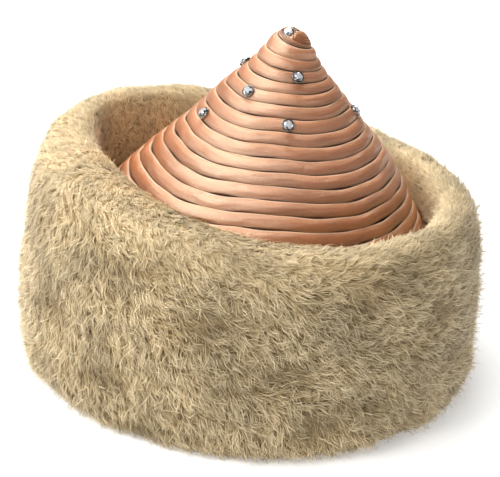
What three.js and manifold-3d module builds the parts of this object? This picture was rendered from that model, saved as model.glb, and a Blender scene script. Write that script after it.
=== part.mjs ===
// A woman's wound hat: a cone of padded satin cord in one continuous spiral, dotted with cut
// rhinestones in thin metal rims, standing in a deep turned-up cuff of sheared fur.
// Millimetres, +Z up, the wearer's face towards -Y, the origin under the middle of the cuff.
import * as THREE from 'three';
import { mergeVertices } from 'three/addons/utils/BufferGeometryUtils.js';
import Module from 'manifold-3d';

const wasm = await Module();
wasm.setup();

// Head opening, an oval for a head of about 56 cm round.
const HEAD_WIDTH = 166;
const HEAD_LENGTH = 188;

// Fur cuff.
const CUFF_THICKNESS = 42;
const RIM_HEIGHT = 120;
const TROUGH_HEIGHT = 71;
const CUFF_COLUMNS = 36;

// Fur locks on the cuff.
const LOCK_LENGTH = 44;
const LOCK_WIDTH = 25;
const LOCK_LIFT = 2;
const LOCK_ROOT = 3.6;
const LOCK_ROWS = 4;
const LOCKS_IN_ROW = 15;
const LOWEST_LOCKS = 0.6 * LOCK_LENGTH;
const LOCK_RISE = LOCK_LENGTH / 8;
const LOCK_JOG = 0.25;

// Wound satin crown.
const SEAT_HEIGHT = 60;
const CROWN_HEIGHT = 183;
const CROWN_MARGIN = 9.8;
const CROWN_SIDE_MARGIN = 1.2 * CROWN_MARGIN;
const CROWN_SHIFT_X = 11;
const CROWN_SHIFT_Y = -2;
const OVAL_HEIGHT = 92;
const COIL_COUNT = 19;
const COIL_BULGE = 2.4;
const COIL_START = 0.75;
const COIL_WALL = 7.4;
const COIL_COLUMNS = 34;
const TIP_SWELL = 3;
const SWELL_RISE = 0.7;
const TIP_SLUMP = 0.28;
const SLUMPED_TURNS = 5.5;
const WANDER = 0.13;
const WANDER_LOBES = 5;
const WANDER_START = 4;
const WANDER_FULL = 12;
const CROWN_GAP = 0.5;
const LINING_COLUMNS = 20;
const LINING_STEP = 2;

// Rhinestones and their metal rims.
const STONE_WIDTH = 5.3;
const STONE_CROWN = 1.25;
const STONE_GIRDLE = 0.3;
const STONE_PAVILION = 1.1;
const STONE_SIDES = 8;
const TABLE_SHARE = 0.6;
const STONE_GAP = 0.25;
const METAL_WALL = 0.4;
const METAL_FLOOR = 0.4;
const METAL_SINK = 0.7;
const POCKET_GAP = 0.3;
const METAL_SIDES = 10;
const STONE_ON_COIL = 0.56;
const TIP_TILT = 24;
const TIP_OFFSET = 2.4;
const TIP_SINK = 2.7;

// How far a surface may move where small faces are merged, and how far a cut runs past a face.
const FUR_TOLERANCE = 0.32;
const SATIN_TOLERANCE = 0.13;
const CUT_PAST = 1;
const BORE_SIDES = 48;

const turn = 2 * Math.PI;
const radians = (degrees) => degrees * Math.PI / 180;
const mix = (a, b, t) => a + (b - a) * t;

function smooth(t) {
  const s = THREE.MathUtils.clamp(t, 0, 1);
  return s * s * (3 - 2 * s);
}

// A smooth curve through evenly spaced rows; a closed one wraps round from the last row to the first.
function along(rows, column, position, closed) {
  const count = rows.length;
  const held = (i, most) => THREE.MathUtils.clamp(i, 0, most);
  const whole = closed ? Math.floor(position) : held(Math.floor(position), count - 2);
  const t = position - whole;
  const [a, b, c, d] = [-1, 0, 1, 2].map((step) => {
    const i = whole + step;
    return rows[closed ? THREE.MathUtils.euclideanModulo(i, count) : held(i, count - 1)][column];
  });
  const slope = (c - a) * t;
  const bend = (2 * a - 5 * b + 4 * c - d) * t * t;
  const twist = (3 * b - a - 3 * c + d) * t ** 3;
  return (2 * b + slope + bend + twist) / 2;
}

function bufferGeometry(points, faces) {
  const geometry = new THREE.BufferGeometry();
  const numbers = points.flatMap((p) => p.toArray());
  geometry.setAttribute('position', new THREE.Float32BufferAttribute(numbers, 3));
  geometry.setIndex(faces.flat());
  return geometry;
}

function solid(geometry) {
  const bare = geometry.clone();
  bare.deleteAttribute('normal');
  bare.deleteAttribute('uv');
  const merged = mergeVertices(bare, 1e-4);
  return new wasm.Manifold(new wasm.Mesh({
    numProp: 3,
    vertProperties: new Float32Array(merged.attributes.position.array),
    triVerts: new Uint32Array(merged.index.array),
  }));
}

function geometryOf(body) {
  const mesh = body.getMesh();
  const geometry = new THREE.BufferGeometry();
  geometry.setAttribute('position', new THREE.BufferAttribute(mesh.vertProperties, 3));
  geometry.setIndex(new THREE.BufferAttribute(mesh.triVerts, 1));
  return geometry;
}

// The largest piece of a body, which fills pinholes that overlapping locks close off.
function largest(body) {
  return body.decompose().reduce((a, b) => (a.volume() > b.volume() ? a : b));
}

// Rings of points stacked from the lowest to the highest, closed below and above by one point each.
function stackedRings(bottom, rings, top) {
  const count = rings[0].length;
  const points = [bottom, ...rings.flat(), top];
  const last = points.length - 1;
  const faces = [];
  for (let j = 0; j < count; j += 1) {
    const next = (j + 1) % count;
    faces.push([0, 1 + next, 1 + j]);
    faces.push([last, last - count + j, last - count + next]);
    for (let i = 0; i < rings.length - 1; i += 1) {
      const low = 1 + i * count;
      const high = low + count;
      faces.push([low + j, low + next, high + next]);
      faces.push([low + j, high + next, high + j]);
    }
  }
  return bufferGeometry(points, faces);
}

// The rim as a row for each 24 degrees, starting at the left (-X) and passing the front (-Y):
// its height as a share of RIM_HEIGHT and how far the lip reaches in as a share of CUFF_THICKNESS.
const RIM = [
  { height: 0.975, lip: 0.94 },
  { height: 0.995, lip: 1.1 },
  { height: 0.99, lip: 1.02 },
  { height: 0.945, lip: 0.94 },
  { height: 0.89, lip: 0.92 },
  { height: 0.87, lip: 0.75 },
  { height: 0.86, lip: 0.66 },
  { height: 0.84, lip: 0.68 },
  { height: 0.825, lip: 0.7 },
  { height: 0.82, lip: 0.72 },
  { height: 0.835, lip: 0.75 },
  { height: 0.875, lip: 0.8 },
  { height: 0.93, lip: 0.82 },
  { height: 0.98, lip: 0.78 },
  { height: 1, lip: 0.72 },
];

// The cuff's section from the resting face up the outside: inwards from the widest line as a
// share of CUFF_THICKNESS, and up as a share of the rim's height there.
const OUTSIDE = [
  { inward: 0.27, up: 0 },
  { inward: 0.1, up: 0.025 },
  { inward: 0.025, up: 0.08 },
  { inward: 0, up: 0.17 },
  { inward: 0.012, up: 0.32 },
  { inward: 0.035, up: 0.48 },
  { inward: 0.06, up: 0.63 },
  { inward: 0.095, up: 0.77 },
  { inward: 0.15, up: 0.885 },
  { inward: 0.24, up: 0.96 },
];

// The rest of the section over the lip: inwards between the last row above and the lip's edge.
const LIP = [
  { inward: 0.3, up: 0.992 },
  { inward: 0.62, up: 1 },
  { inward: 0.88, up: 0.972 },
  { inward: 1, up: 0.91 },
  { inward: 1.06, up: 0.8 },
];

function cuffPoint(angle, inwardShare, height) {
  const inset = CUFF_THICKNESS * (1 - inwardShare);
  const x = (HEAD_WIDTH / 2 + inset) * Math.cos(angle);
  const y = (HEAD_LENGTH / 2 + inset) * Math.sin(angle);
  return new THREE.Vector3(x, y, height);
}

function rimAt(angle) {
  const position = (angle + Math.PI) / turn * RIM.length;
  return {
    height: RIM_HEIGHT * along(RIM, 'height', position, true),
    lip: along(RIM, 'lip', position, true),
  };
}

function cuffSection(angle) {
  const rim = rimAt(angle);
  const edge = OUTSIDE[OUTSIDE.length - 1].inward;
  const lip = LIP.map((row) => ({ inward: mix(edge, rim.lip, row.inward), up: row.up }));
  return [...OUTSIDE, ...lip].map((row) => ({ inward: row.inward, height: row.up * rim.height }));
}

// A point of the cuff's surface, a distance up its section from the resting face.
function cuffSurface(angle, distance) {
  const section = cuffSection(angle);
  const points = section.map((row) => cuffPoint(angle, row.inward, row.height));
  let whole = 0;
  let left = distance;
  let span = points[1].distanceTo(points[0]);
  while (left > span && whole < points.length - 2) {
    left -= span;
    whole += 1;
    span = points[whole + 1].distanceTo(points[whole]);
  }
  const position = whole + THREE.MathUtils.clamp(left / span, 0, 1);
  return cuffPoint(angle, along(section, 'inward', position), along(section, 'height', position));
}

// One lock of fur: a leaf with a ridge, rooted under the surface, that points along its lay.
const LOCK_SECTIONS = [
  { at: -0.5, width: 0.3, lift: -0.5 },
  { at: -0.2, width: 0.9, lift: 0.5 },
  { at: 0.2, width: 1, lift: 1 },
  { at: 0.5, width: 0.35, lift: 0.45 },
];

function furLock(angle, distance, lay) {
  const radius = cuffSurface(angle, distance).setZ(0).length();
  const surfacePoint = (alongLay, acrossLay) => {
    const around = alongLay * Math.cos(lay) - acrossLay * Math.sin(lay);
    const up = alongLay * Math.sin(lay) + acrossLay * Math.cos(lay);
    return cuffSurface(angle + around / radius, distance + up);
  };
  const rings = LOCK_SECTIONS.map((section) => {
    const middle = surfacePoint(section.at * LOCK_LENGTH, 0);
    const left = surfacePoint(section.at * LOCK_LENGTH, section.width * LOCK_WIDTH / 2);
    const right = surfacePoint(section.at * LOCK_LENGTH, -section.width * LOCK_WIDTH / 2);
    const ahead = surfacePoint((section.at + 0.05) * LOCK_LENGTH, 0).sub(middle);
    const normal = ahead.cross(left.clone().sub(right)).normalize();
    const ridge = middle.clone().addScaledVector(normal, section.lift * LOCK_LIFT);
    const root = middle.clone().addScaledVector(normal, -LOCK_ROOT);
    left.addScaledVector(normal, -LOCK_ROOT / 2);
    right.addScaledVector(normal, -LOCK_ROOT / 2);
    return [left, ridge, right, root];
  });
  const sum = (ring) => ring.reduce((total, p) => total.add(p), new THREE.Vector3());
  const centre = (ring) => sum(ring).divideScalar(ring.length);
  const start = centre(rings[0]);
  const end = centre(rings[rings.length - 1]);
  return solid(stackedRings(start, rings, end));
}

// The lay of the fur in degrees, 0 to the right and -90 down as seen from outside, as a row for
// each 24 degrees from the left (-X): at the hem, half way up the outside, and at the rim.
const FUR_LAY = [
  { hem: -112, middle: -118, rim: -100 },
  { hem: -100, middle: -104, rim: -86 },
  { hem: -76, middle: -60, rim: -56 },
  { hem: -56, middle: -42, rim: -36 },
  { hem: -62, middle: -36, rim: -26 },
  { hem: -66, middle: -26, rim: -12 },
  { hem: -44, middle: -14, rim: 4 },
  { hem: -44, middle: 10, rim: 24 },
  { hem: -62, middle: -60, rim: -10 },
  { hem: -80, middle: -74, rim: -46 },
  { hem: -66, middle: -58, rim: -40 },
  { hem: -50, middle: -46, rim: -30 },
  { hem: -58, middle: -62, rim: -44 },
  { hem: -80, middle: -84, rim: -66 },
  { hem: -100, middle: -106, rim: -88 },
];

function furLay(angle, distance) {
  const position = (angle + Math.PI) / turn * FUR_LAY.length;
  const [hem, middle, rim] = ['hem', 'middle', 'rim'].map((column) => (
    along(FUR_LAY, column, position, true)
  ));
  const up = 2 * THREE.MathUtils.clamp(distance / RIM_HEIGHT, 0, 1);
  return radians(up < 1 ? mix(hem, middle, up) : mix(middle, rim, up - 1));
}

// The crown's meridian as a row for each tenth of its turns: the seam's radius as a share of the
// foot's and its height as a share of the rise from the seat to the tip.
const MERIDIAN = [
  { radius: 0, height: 1 },
  { radius: 0.1, height: 0.905 },
  { radius: 0.204, height: 0.82 },
  { radius: 0.314, height: 0.74 },
  { radius: 0.418, height: 0.649 },
  { radius: 0.524, height: 0.557 },
  { radius: 0.64, height: 0.465 },
  { radius: 0.746, height: 0.37 },
  { radius: 0.845, height: 0.269 },
  { radius: 0.932, height: 0.162 },
  { radius: 1, height: 0.054 },
];
// How far the crown's axis leans to the right as a share of CROWN_SHIFT_X, at each quarter of the
// rise from the seat to the tip.
const LEAN = [
  { share: 0 },
  { share: 0.24 },
  { share: 0.66 },
  { share: 0.77 },
  { share: 1 },
];
const TURN_COUNT = COIL_COUNT + 1;
const SEAM_STEP = 0.05;
const FRONT = -Math.PI / 2;
const crownRise = CROWN_HEIGHT - COIL_BULGE - SEAT_HEIGHT;
const footRadius = HEAD_WIDTH / 2 + CROWN_MARGIN;
const footStretch = (HEAD_LENGTH / 2 + CROWN_SIDE_MARGIN) / footRadius;

// The round cone leans to the right and turns into the head's oval below OVAL_HEIGHT.
function crownPlace(angle, radius, height) {
  const low = smooth((OVAL_HEIGHT - height) / (OVAL_HEIGHT - SEAT_HEIGHT));
  const risen = THREE.MathUtils.clamp((height - SEAT_HEIGHT) / crownRise, 0, 1);
  const shiftX = CROWN_SHIFT_X * along(LEAN, 'share', risen * (LEAN.length - 1));
  const shiftY = CROWN_SHIFT_Y * (1 - low);
  return new THREE.Vector3(
    shiftX + radius * Math.cos(angle),
    shiftY + radius * mix(1, footStretch, low) * Math.sin(angle),
    height,
  );
}

// The seam line after a number of turns from the tip, whose first turns swell into a blunt bulb.
function seam(turns) {
  const position = turns / TURN_COUNT * (MERIDIAN.length - 1);
  const swell = TIP_SWELL * turns * Math.exp(1 - turns);
  return new THREE.Vector2(
    footRadius * along(MERIDIAN, 'radius', position) + swell,
    SEAT_HEIGHT + crownRise * along(MERIDIAN, 'height', position) + SWELL_RISE * swell,
  );
}

function crownPoint(angle, turns, lift) {
  const here = seam(turns);
  const below = seam(Math.min(turns + SEAM_STEP, TURN_COUNT));
  const ahead = below.sub(seam(Math.max(turns - SEAM_STEP, 0))).normalize();
  return crownPlace(angle, Math.max(here.x - ahead.y * lift, 0), here.y + ahead.x * lift);
}

// The winding is by hand: the tip's coils slump to the right and the lower ones wander in lobes,
// one of which is centred near the front.
function windingDrift(angle, turns) {
  const tip = Math.max(1 - turns / SLUMPED_TURNS, 0) * Math.min(turns, 1);
  const slump = TIP_SLUMP * tip * (1 + Math.cos(angle));
  const lower = (turns - WANDER_START) / (WANDER_FULL - WANDER_START);
  const lobe = Math.cos(WANDER_LOBES * (angle - FRONT) - radians(185));
  return slump + WANDER * THREE.MathUtils.clamp(lower, 0, 1) * lobe;
}

// One coil across its width: how far down from its upper groove, and its height over the seam.
const COIL = [
  { down: 0, rise: 0 },
  { down: 0.22, rise: 0.86 },
  { down: 0.8, rise: 1 },
];

function coilPoint(row, column) {
  const part = COIL[row % COIL.length];
  const angle = FRONT + turn * column / COIL_COLUMNS;
  const turns = Math.floor(row / COIL.length) + part.down + column / COIL_COLUMNS;
  const rise = mix(COIL_START, part.rise, Math.min(turns, 1));
  const drifted = Math.min(turns + windingDrift(angle, turns), TURN_COUNT);
  return crownPoint(angle, drifted, rise * COIL_BULGE);
}

// The spiral's rows run on from one turn into the next, so the last column of a row is the first
// column of the row one coil further down.
function coilSolid() {
  const rows = COIL_COUNT * COIL.length;
  const points = [];
  const index = (row, column) => {
    const wrapped = column === COIL_COLUMNS ? [row + COIL.length, 0] : [row, column];
    return wrapped[0] * COIL_COLUMNS + wrapped[1];
  };
  for (let row = 0; row <= rows + COIL.length; row += 1) {
    for (let column = 0; column < COIL_COLUMNS; column += 1) {
      points.push(coilPoint(row, column));
    }
  }
  const faces = [];
  for (let row = 0; row < rows; row += 1) {
    for (let column = 0; column < COIL_COLUMNS; column += 1) {
      faces.push([index(row, column), index(row + 1, column), index(row + 1, column + 1)]);
      faces.push([index(row, column), index(row + 1, column + 1), index(row, column + 1)]);
    }
  }
  // The start of the winding is closed as a fan round the tip.
  for (let column = 1; column < COIL_COLUMNS - 1; column += 1) {
    faces.push([index(0, 0), index(0, column), index(0, column + 1)]);
  }
  for (let row = 0; row < COIL.length; row += 1) {
    faces.push([index(0, COIL_COLUMNS - 1), index(row + 1, 0), index(row, 0)]);
  }
  // The end is closed by a plain foot down to the seat.
  const foot = points.length;
  for (let column = 0; column < COIL_COLUMNS; column += 1) {
    const angle = FRONT + turn * column / COIL_COLUMNS;
    points.push(crownPlace(angle, footRadius, SEAT_HEIGHT));
  }
  const middle = points.push(crownPlace(0, 0, SEAT_HEIGHT)) - 1;
  for (let column = 0; column < COIL_COLUMNS; column += 1) {
    const next = (column + 1) % COIL_COLUMNS;
    faces.push([middle, foot + next, foot + column]);
    faces.push([index(rows, column + 1), foot + column, foot + next]);
    if (column > 0) {
      faces.push([index(rows, column), foot + column, index(rows, column + 1)]);
    }
  }
  for (let row = rows; row < rows + COIL.length; row += 1) {
    faces.push([index(rows, 1), index(row, 0), index(row + 1, 0)]);
  }
  faces.push([index(rows, 1), index(rows + COIL.length, 0), foot]);
  return solid(usedPoints(points, faces));
}

// Drops the points that no face uses.
function usedPoints(points, faces) {
  const used = [...new Set(faces.flat())].sort((a, b) => a - b);
  const renumber = new Map(used.map((old, i) => [old, i]));
  const renumbered = faces.map((face) => face.map((i) => renumber.get(i)));
  return bufferGeometry(used.map((i) => points[i]), renumbered);
}

// The crown without its grooves, a chosen distance over the seam, down to a chosen height.
function crownEnvelope(lift, bottom, columns, turnStep) {
  const rings = [];
  const angles = [...Array(columns).keys()].map((j) => FRONT + turn * j / columns);
  const ring = (turns) => angles.map((angle) => crownPoint(angle, turns, lift));
  const footRing = (height) => angles.map((angle) => (
    crownPlace(angle, footRadius + lift, SEAT_HEIGHT).setZ(height)
  ));
  rings.push(footRing(bottom));
  rings.push(footRing(SEAT_HEIGHT));
  for (let turns = TURN_COUNT; turns > turnStep / 2; turns -= turnStep) {
    rings.push(ring(turns));
  }
  const tip = crownPoint(0, 0, lift);
  tip.set(CROWN_SHIFT_X, CROWN_SHIFT_Y, tip.z);
  return solid(stackedRings(new THREE.Vector3(0, 0, bottom), rings, tip));
}

// Each stone by the coil it sits on, counted from the tip, and its angle round the crown.
const STONES = [
  { coil: 3, degrees: -72 },
  { coil: 5, degrees: -127 },
  { coil: 4, degrees: -203 },
  { coil: 8, degrees: -156 },
  { coil: 7, degrees: -2 },
  { coil: 7, degrees: -83 },
  { coil: 5, degrees: 52 },
  { coil: 3, degrees: 88 },
  { coil: 8, degrees: 64 },
  { coil: 6, degrees: 118 },
  { coil: 9, degrees: 128 },
];

// The frame of a stone: its place on the coil's crest and its axis, square to the cone.
function stonePlace(stone) {
  const angle = radians(stone.degrees);
  const turns = stone.coil + STONE_ON_COIL + (angle - FRONT) / turn;
  const drifted = turns + windingDrift(angle, turns);
  const base = crownPoint(angle, drifted, COIL_BULGE);
  const axis = base.clone().sub(crownPoint(angle, drifted, 0)).normalize();
  return { base, axis };
}

function tipPlace() {
  const tilt = radians(TIP_TILT);
  const axis = new THREE.Vector3(-Math.sin(tilt) / 2, -Math.sin(tilt), Math.cos(tilt)).normalize();
  const top = CROWN_HEIGHT - TIP_SINK;
  const base = new THREE.Vector3(CROWN_SHIFT_X - TIP_OFFSET / 2, CROWN_SHIFT_Y - TIP_OFFSET, top);
  return { base, axis };
}

const metalRadius = STONE_WIDTH / 2 + STONE_GAP + METAL_WALL;
const metalHeight = METAL_FLOOR + STONE_GAP + STONE_PAVILION + STONE_GIRDLE;

function placedAt(mesh, place, alongAxis) {
  mesh.position.copy(place.base).addScaledVector(place.axis, alongAxis);
  mesh.quaternion.setFromUnitVectors(new THREE.Vector3(0, 1, 0), place.axis);
  return mesh;
}

function ringOfPoints(sides, radius, height, offset) {
  return [...Array(sides).keys()].map((i) => {
    const angle = -turn * (i + offset) / sides;
    return new THREE.Vector3(radius * Math.cos(angle), height, radius * Math.sin(angle));
  });
}

// A round cut stone, its axis along Y and its girdle's lower edge at zero: a table, a row of crown
// facets split by half-turned corners, a girdle and a pointed pavilion.
function stoneGeometry() {
  const radius = STONE_WIDTH / 2;
  const rings = [
    ringOfPoints(STONE_SIDES, radius, 0, 0),
    ringOfPoints(STONE_SIDES, radius, STONE_GIRDLE, 0),
    ringOfPoints(STONE_SIDES, radius * TABLE_SHARE, STONE_GIRDLE + STONE_CROWN, 0.5),
  ];
  const culet = new THREE.Vector3(0, -STONE_PAVILION, 0);
  const table = new THREE.Vector3(0, STONE_GIRDLE + STONE_CROWN, 0);
  return stackedRings(culet, rings, table);
}

// The metal cup that holds a stone, its underside at zero.
function metalGeometry() {
  const inner = metalRadius - METAL_WALL;
  const outline = [
    [0, 0],
    [metalRadius, 0],
    [metalRadius, metalHeight],
    [inner, metalHeight],
    [inner, METAL_FLOOR],
    [0, METAL_FLOOR],
  ];
  return new THREE.LatheGeometry(outline.map((p) => new THREE.Vector2(...p)), METAL_SIDES);
}

function pocketSolid(place) {
  const depth = METAL_SINK + POCKET_GAP;
  const height = depth + 3 * metalHeight;
  const radius = metalRadius + POCKET_GAP;
  const pocket = new THREE.CylinderGeometry(radius, radius, height, METAL_SIDES);
  const mesh = placedAt(new THREE.Mesh(pocket), place, height / 2 - depth);
  mesh.updateMatrix();
  return solid(pocket.applyMatrix4(mesh.matrix));
}

function satinCoil(places) {
  const inner = COIL_BULGE - COIL_WALL;
  const hollow = crownEnvelope(inner, SEAT_HEIGHT - COIL_WALL, LINING_COLUMNS, LINING_STEP);
  const wound = coilSolid().subtract(hollow);
  const body = places.reduce((left, place) => left.subtract(pocketSolid(place)), wound);
  const satin = new THREE.MeshStandardMaterial({ color: 0xdcae8e, roughness: 0.42, metalness: 0 });
  return new THREE.Mesh(geometryOf(body.simplify(SATIN_TOLERANCE)), satin);
}

// The cuff as a full form, before the head opening and the crown's seat are cut into it.
function cuffForm() {
  const angles = [...Array(CUFF_COLUMNS).keys()].map((j) => -Math.PI + turn * j / CUFF_COLUMNS);
  const sections = angles.map(cuffSection);
  const rings = sections[0].map((row, i) => angles.map((angle, j) => (
    cuffPoint(angle, sections[j][i].inward, sections[j][i].height)
  )));
  const last = sections[0].length - 1;
  rings.push(angles.map((angle, j) => cuffPoint(angle, sections[j][last].inward, TROUGH_HEIGHT)));
  return solid(stackedRings(new THREE.Vector3(), rings, new THREE.Vector3(0, 0, TROUGH_HEIGHT)));
}

function headOpening() {
  const height = SEAT_HEIGHT + 2 * CUT_PAST;
  const bore = new THREE.CylinderGeometry(1, 1, height, BORE_SIDES).rotateX(Math.PI / 2);
  bore.scale(HEAD_WIDTH / 2, HEAD_LENGTH / 2, 1).translate(0, 0, SEAT_HEIGHT / 2);
  return solid(bore);
}

function furCuff() {
  const locks = [];
  for (let row = 0; row < LOCK_ROWS; row += 1) {
    const middle = mix(LOWEST_LOCKS, RIM_HEIGHT + LOCK_RISE, row / (LOCK_ROWS - 1));
    for (let i = 0; i < LOCKS_IN_ROW; i += 1) {
      const jog = LOCK_JOG * Math.sin(7 * i + 3 * row);
      const angle = -Math.PI + turn * (i + (row % 2) / 2 + jog) / LOCKS_IN_ROW;
      const distance = middle + LOCK_RISE * Math.sin(5 * i + row);
      locks.push(furLock(angle, distance, furLay(angle, distance)));
    }
  }
  const form = wasm.Manifold.union([cuffForm(), ...locks]).simplify(FUR_TOLERANCE);
  const crown = crownEnvelope(COIL_BULGE + CROWN_GAP, SEAT_HEIGHT - CROWN_GAP, COIL_COLUMNS, 1);
  const cut = form.subtract(crown).subtract(headOpening()).trimByPlane([0, 0, 1], 0);
  const body = largest(cut);
  const fur = new THREE.MeshStandardMaterial({ color: 0xc0aa84, roughness: 0.95, metalness: 0 });
  return new THREE.Mesh(geometryOf(body), fur);
}

const hat = new THREE.Group();
const places = [tipPlace(), ...STONES.map(stonePlace)];

const cuff = furCuff();
cuff.name = 'fur_cuff';
hat.add(cuff);

const coil = satinCoil(places);
coil.name = 'satin_coil';
hat.add(coil);

const crystal = new THREE.MeshStandardMaterial({ color: 0xf4f6f8, roughness: 0.03, metalness: 0 });
const silver = new THREE.MeshStandardMaterial({ color: 0x9b9892, roughness: 0.3, metalness: 1 });
places.forEach((place, i) => {
  const number = String(i + 1).padStart(2, '0');
  const rim = placedAt(new THREE.Mesh(metalGeometry(), silver), place, -METAL_SINK);
  rim.name = `stone_rim_${number}`;
  hat.add(rim);
  const seat = METAL_FLOOR + STONE_GAP + STONE_PAVILION - METAL_SINK;
  const stone = placedAt(new THREE.Mesh(stoneGeometry(), crystal), place, seat);
  stone.name = `rhinestone_${number}`;
  hat.add(stone);
});

export default hat;
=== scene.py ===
import math

import bmesh
import bpy
import numpy as np
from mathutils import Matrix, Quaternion, Vector


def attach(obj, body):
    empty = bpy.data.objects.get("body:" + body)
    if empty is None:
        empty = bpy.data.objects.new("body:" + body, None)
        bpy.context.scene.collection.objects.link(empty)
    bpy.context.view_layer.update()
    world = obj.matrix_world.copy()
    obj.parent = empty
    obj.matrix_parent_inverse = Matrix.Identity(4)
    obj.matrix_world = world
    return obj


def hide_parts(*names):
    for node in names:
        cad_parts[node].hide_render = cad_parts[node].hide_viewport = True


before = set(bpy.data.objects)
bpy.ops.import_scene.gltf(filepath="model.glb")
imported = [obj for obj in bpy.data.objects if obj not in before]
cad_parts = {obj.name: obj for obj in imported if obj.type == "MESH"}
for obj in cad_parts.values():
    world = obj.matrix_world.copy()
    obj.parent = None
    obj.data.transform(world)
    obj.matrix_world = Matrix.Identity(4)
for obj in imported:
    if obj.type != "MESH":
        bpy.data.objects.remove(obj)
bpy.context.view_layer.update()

# The studio: a plain white floor under soft light from high on the left. The camera stands well
# back with a long lens, looks down on the front of the hat and is rolled a little to one side.
camera_data = bpy.data.cameras.new("studio_camera")
camera_data.lens = 115
camera_data.clip_start = 0.05
camera = bpy.data.objects.new("studio_camera", camera_data)
bpy.context.scene.collection.objects.link(camera)
bpy.context.scene.camera = camera
camera.location = (0, -0.8047, 0.403)
camera.rotation_mode = "QUATERNION"
looking_at = Vector((-0.0018, 0, 0.0622))
camera_roll = math.radians(4.6)
looking = (looking_at - camera.location).to_track_quat("-Z", "Y")
camera.rotation_quaternion = looking @ Quaternion((0, 0, 1), camera_roll)

HAT_MIDDLE = Vector((0, 0, 0.09))


def soft_light(name, place, size, watts, colour):
    """A square soft light that points at the middle of the hat."""
    data = bpy.data.lights.new(name, "AREA")
    data.size = size
    data.energy = watts
    data.color = colour
    light = bpy.data.objects.new(name, data)
    bpy.context.scene.collection.objects.link(light)
    light.location = place
    light.rotation_mode = "QUATERNION"
    light.rotation_quaternion = (HAT_MIDDLE - light.location).to_track_quat("-Z", "Y")


soft_light("key_light", (-1.3, -0.65, 1.4), 1.2, 29, (1, 0.985, 0.96))
soft_light("front_light", (-0.85, -1.2, 1.4), 0.9, 11, (1, 0.985, 0.96))
soft_light("left_light", (-1.5, 0.4, 0.8), 1.4, 7, (1, 1, 1))
soft_light("back_light", (-0.2, 1.0, 1.6), 1.0, 20, (1, 1, 1))

world = bpy.data.worlds.new("studio_air")
world.use_nodes = True
world.node_tree.nodes["Background"].inputs["Color"].default_value = (1, 1, 1, 1)
world.node_tree.nodes["Background"].inputs["Strength"].default_value = 0.5
world.cycles_visibility.glossy = False
bpy.context.scene.world = world
bpy.context.scene.view_settings.view_transform = "Standard"


def finish_material(name):
    """A new material, with its tree and its Principled node."""
    material = bpy.data.materials.new(name)
    material.use_nodes = True
    return material, material.node_tree, material.node_tree.nodes["Principled BSDF"]


floor_material, _, floor_surface = finish_material("white_floor")
floor_surface.inputs["Base Color"].default_value = (0.93, 0.93, 0.93, 1)
floor_surface.inputs["Roughness"].default_value = 0.9
floor_surface.inputs["Emission Color"].default_value = (1, 1, 1, 1)
floor_surface.inputs["Emission Strength"].default_value = 0.3
FLOOR_HALF_WIDTH = 6
floor_form = bmesh.new()
bmesh.ops.create_grid(floor_form, x_segments=1, y_segments=1, size=FLOOR_HALF_WIDTH)
floor_mesh = bpy.data.meshes.new("studio_floor")
floor_form.to_mesh(floor_mesh)
floor_form.free()
floor_mesh.materials.append(floor_material)
studio_floor = bpy.data.objects.new("studio_floor", floor_mesh)
bpy.context.scene.collection.objects.link(studio_floor)

# The fur cuff's body: a thick ring, padded and covered in fur cloth, that is turned up all round
# the crown. Its rim is highest round the left, and its lip rolls in there over a deep gap.
MM = 0.001
HEAD_WIDTH = 166 * MM
HEAD_LENGTH = 188 * MM
CUFF_THICKNESS = 42 * MM
RIM_HEIGHT = 120 * MM
TROUGH_HEIGHT = 71 * MM
SEAT_HEIGHT = 60 * MM
MERGE_DISTANCE = 0.001 * MM
TINY = 1e-9
# Shares of the rim's height and of the lip's reach inwards, for each 24 degrees from the left round
# the front.
RIM = np.array([
    [0.975, 0.94], [0.995, 1.1], [0.99, 1.02], [0.945, 0.94], [0.89, 0.92],
    [0.87, 0.75], [0.86, 0.66], [0.84, 0.68], [0.825, 0.7], [0.82, 0.72],
    [0.835, 0.75], [0.875, 0.8], [0.93, 0.82], [0.98, 0.78], [1, 0.72],
])
# The section up the outside, and over the lip: inward share and height share.
OUTSIDE = np.array([
    [0.27, 0], [0.1, 0.025], [0.025, 0.08], [0, 0.17], [0.012, 0.32],
    [0.035, 0.48], [0.06, 0.63], [0.095, 0.77], [0.15, 0.885], [0.24, 0.96],
])
LIP = np.array([[0.3, 0.992], [0.62, 1], [0.88, 0.972], [1, 0.91], [1.06, 0.8]])


def smooth_rows(rows, position, closed):
    """Values on a smooth curve through evenly spaced rows, at fractional row numbers."""
    count = len(rows)
    whole = np.floor(position).astype(int)
    if not closed:
        whole = np.clip(whole, 0, count - 2)
    t = (position - whole)[..., None]
    steps = [whole + step for step in (-1, 0, 1, 2)]
    a, b, c, d = [rows[i % count] if closed else rows[np.clip(i, 0, count - 1)] for i in steps]
    return 0.5 * (2 * b + (c - a) * t + (2 * a - 5 * b + 4 * c - d) * t**2 + (3 * b - a - 3 * c + d) * t**3)


def cuff_place(angle, inward, height):
    """A point of the cuff by its angle, how far in from its widest line, and its height."""
    inset = CUFF_THICKNESS * (1 - inward)
    x = (HEAD_WIDTH / 2 + inset) * np.cos(angle)
    y = (HEAD_LENGTH / 2 + inset) * np.sin(angle)
    return np.stack([x, y, np.broadcast_to(height, x.shape)], -1)


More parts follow.
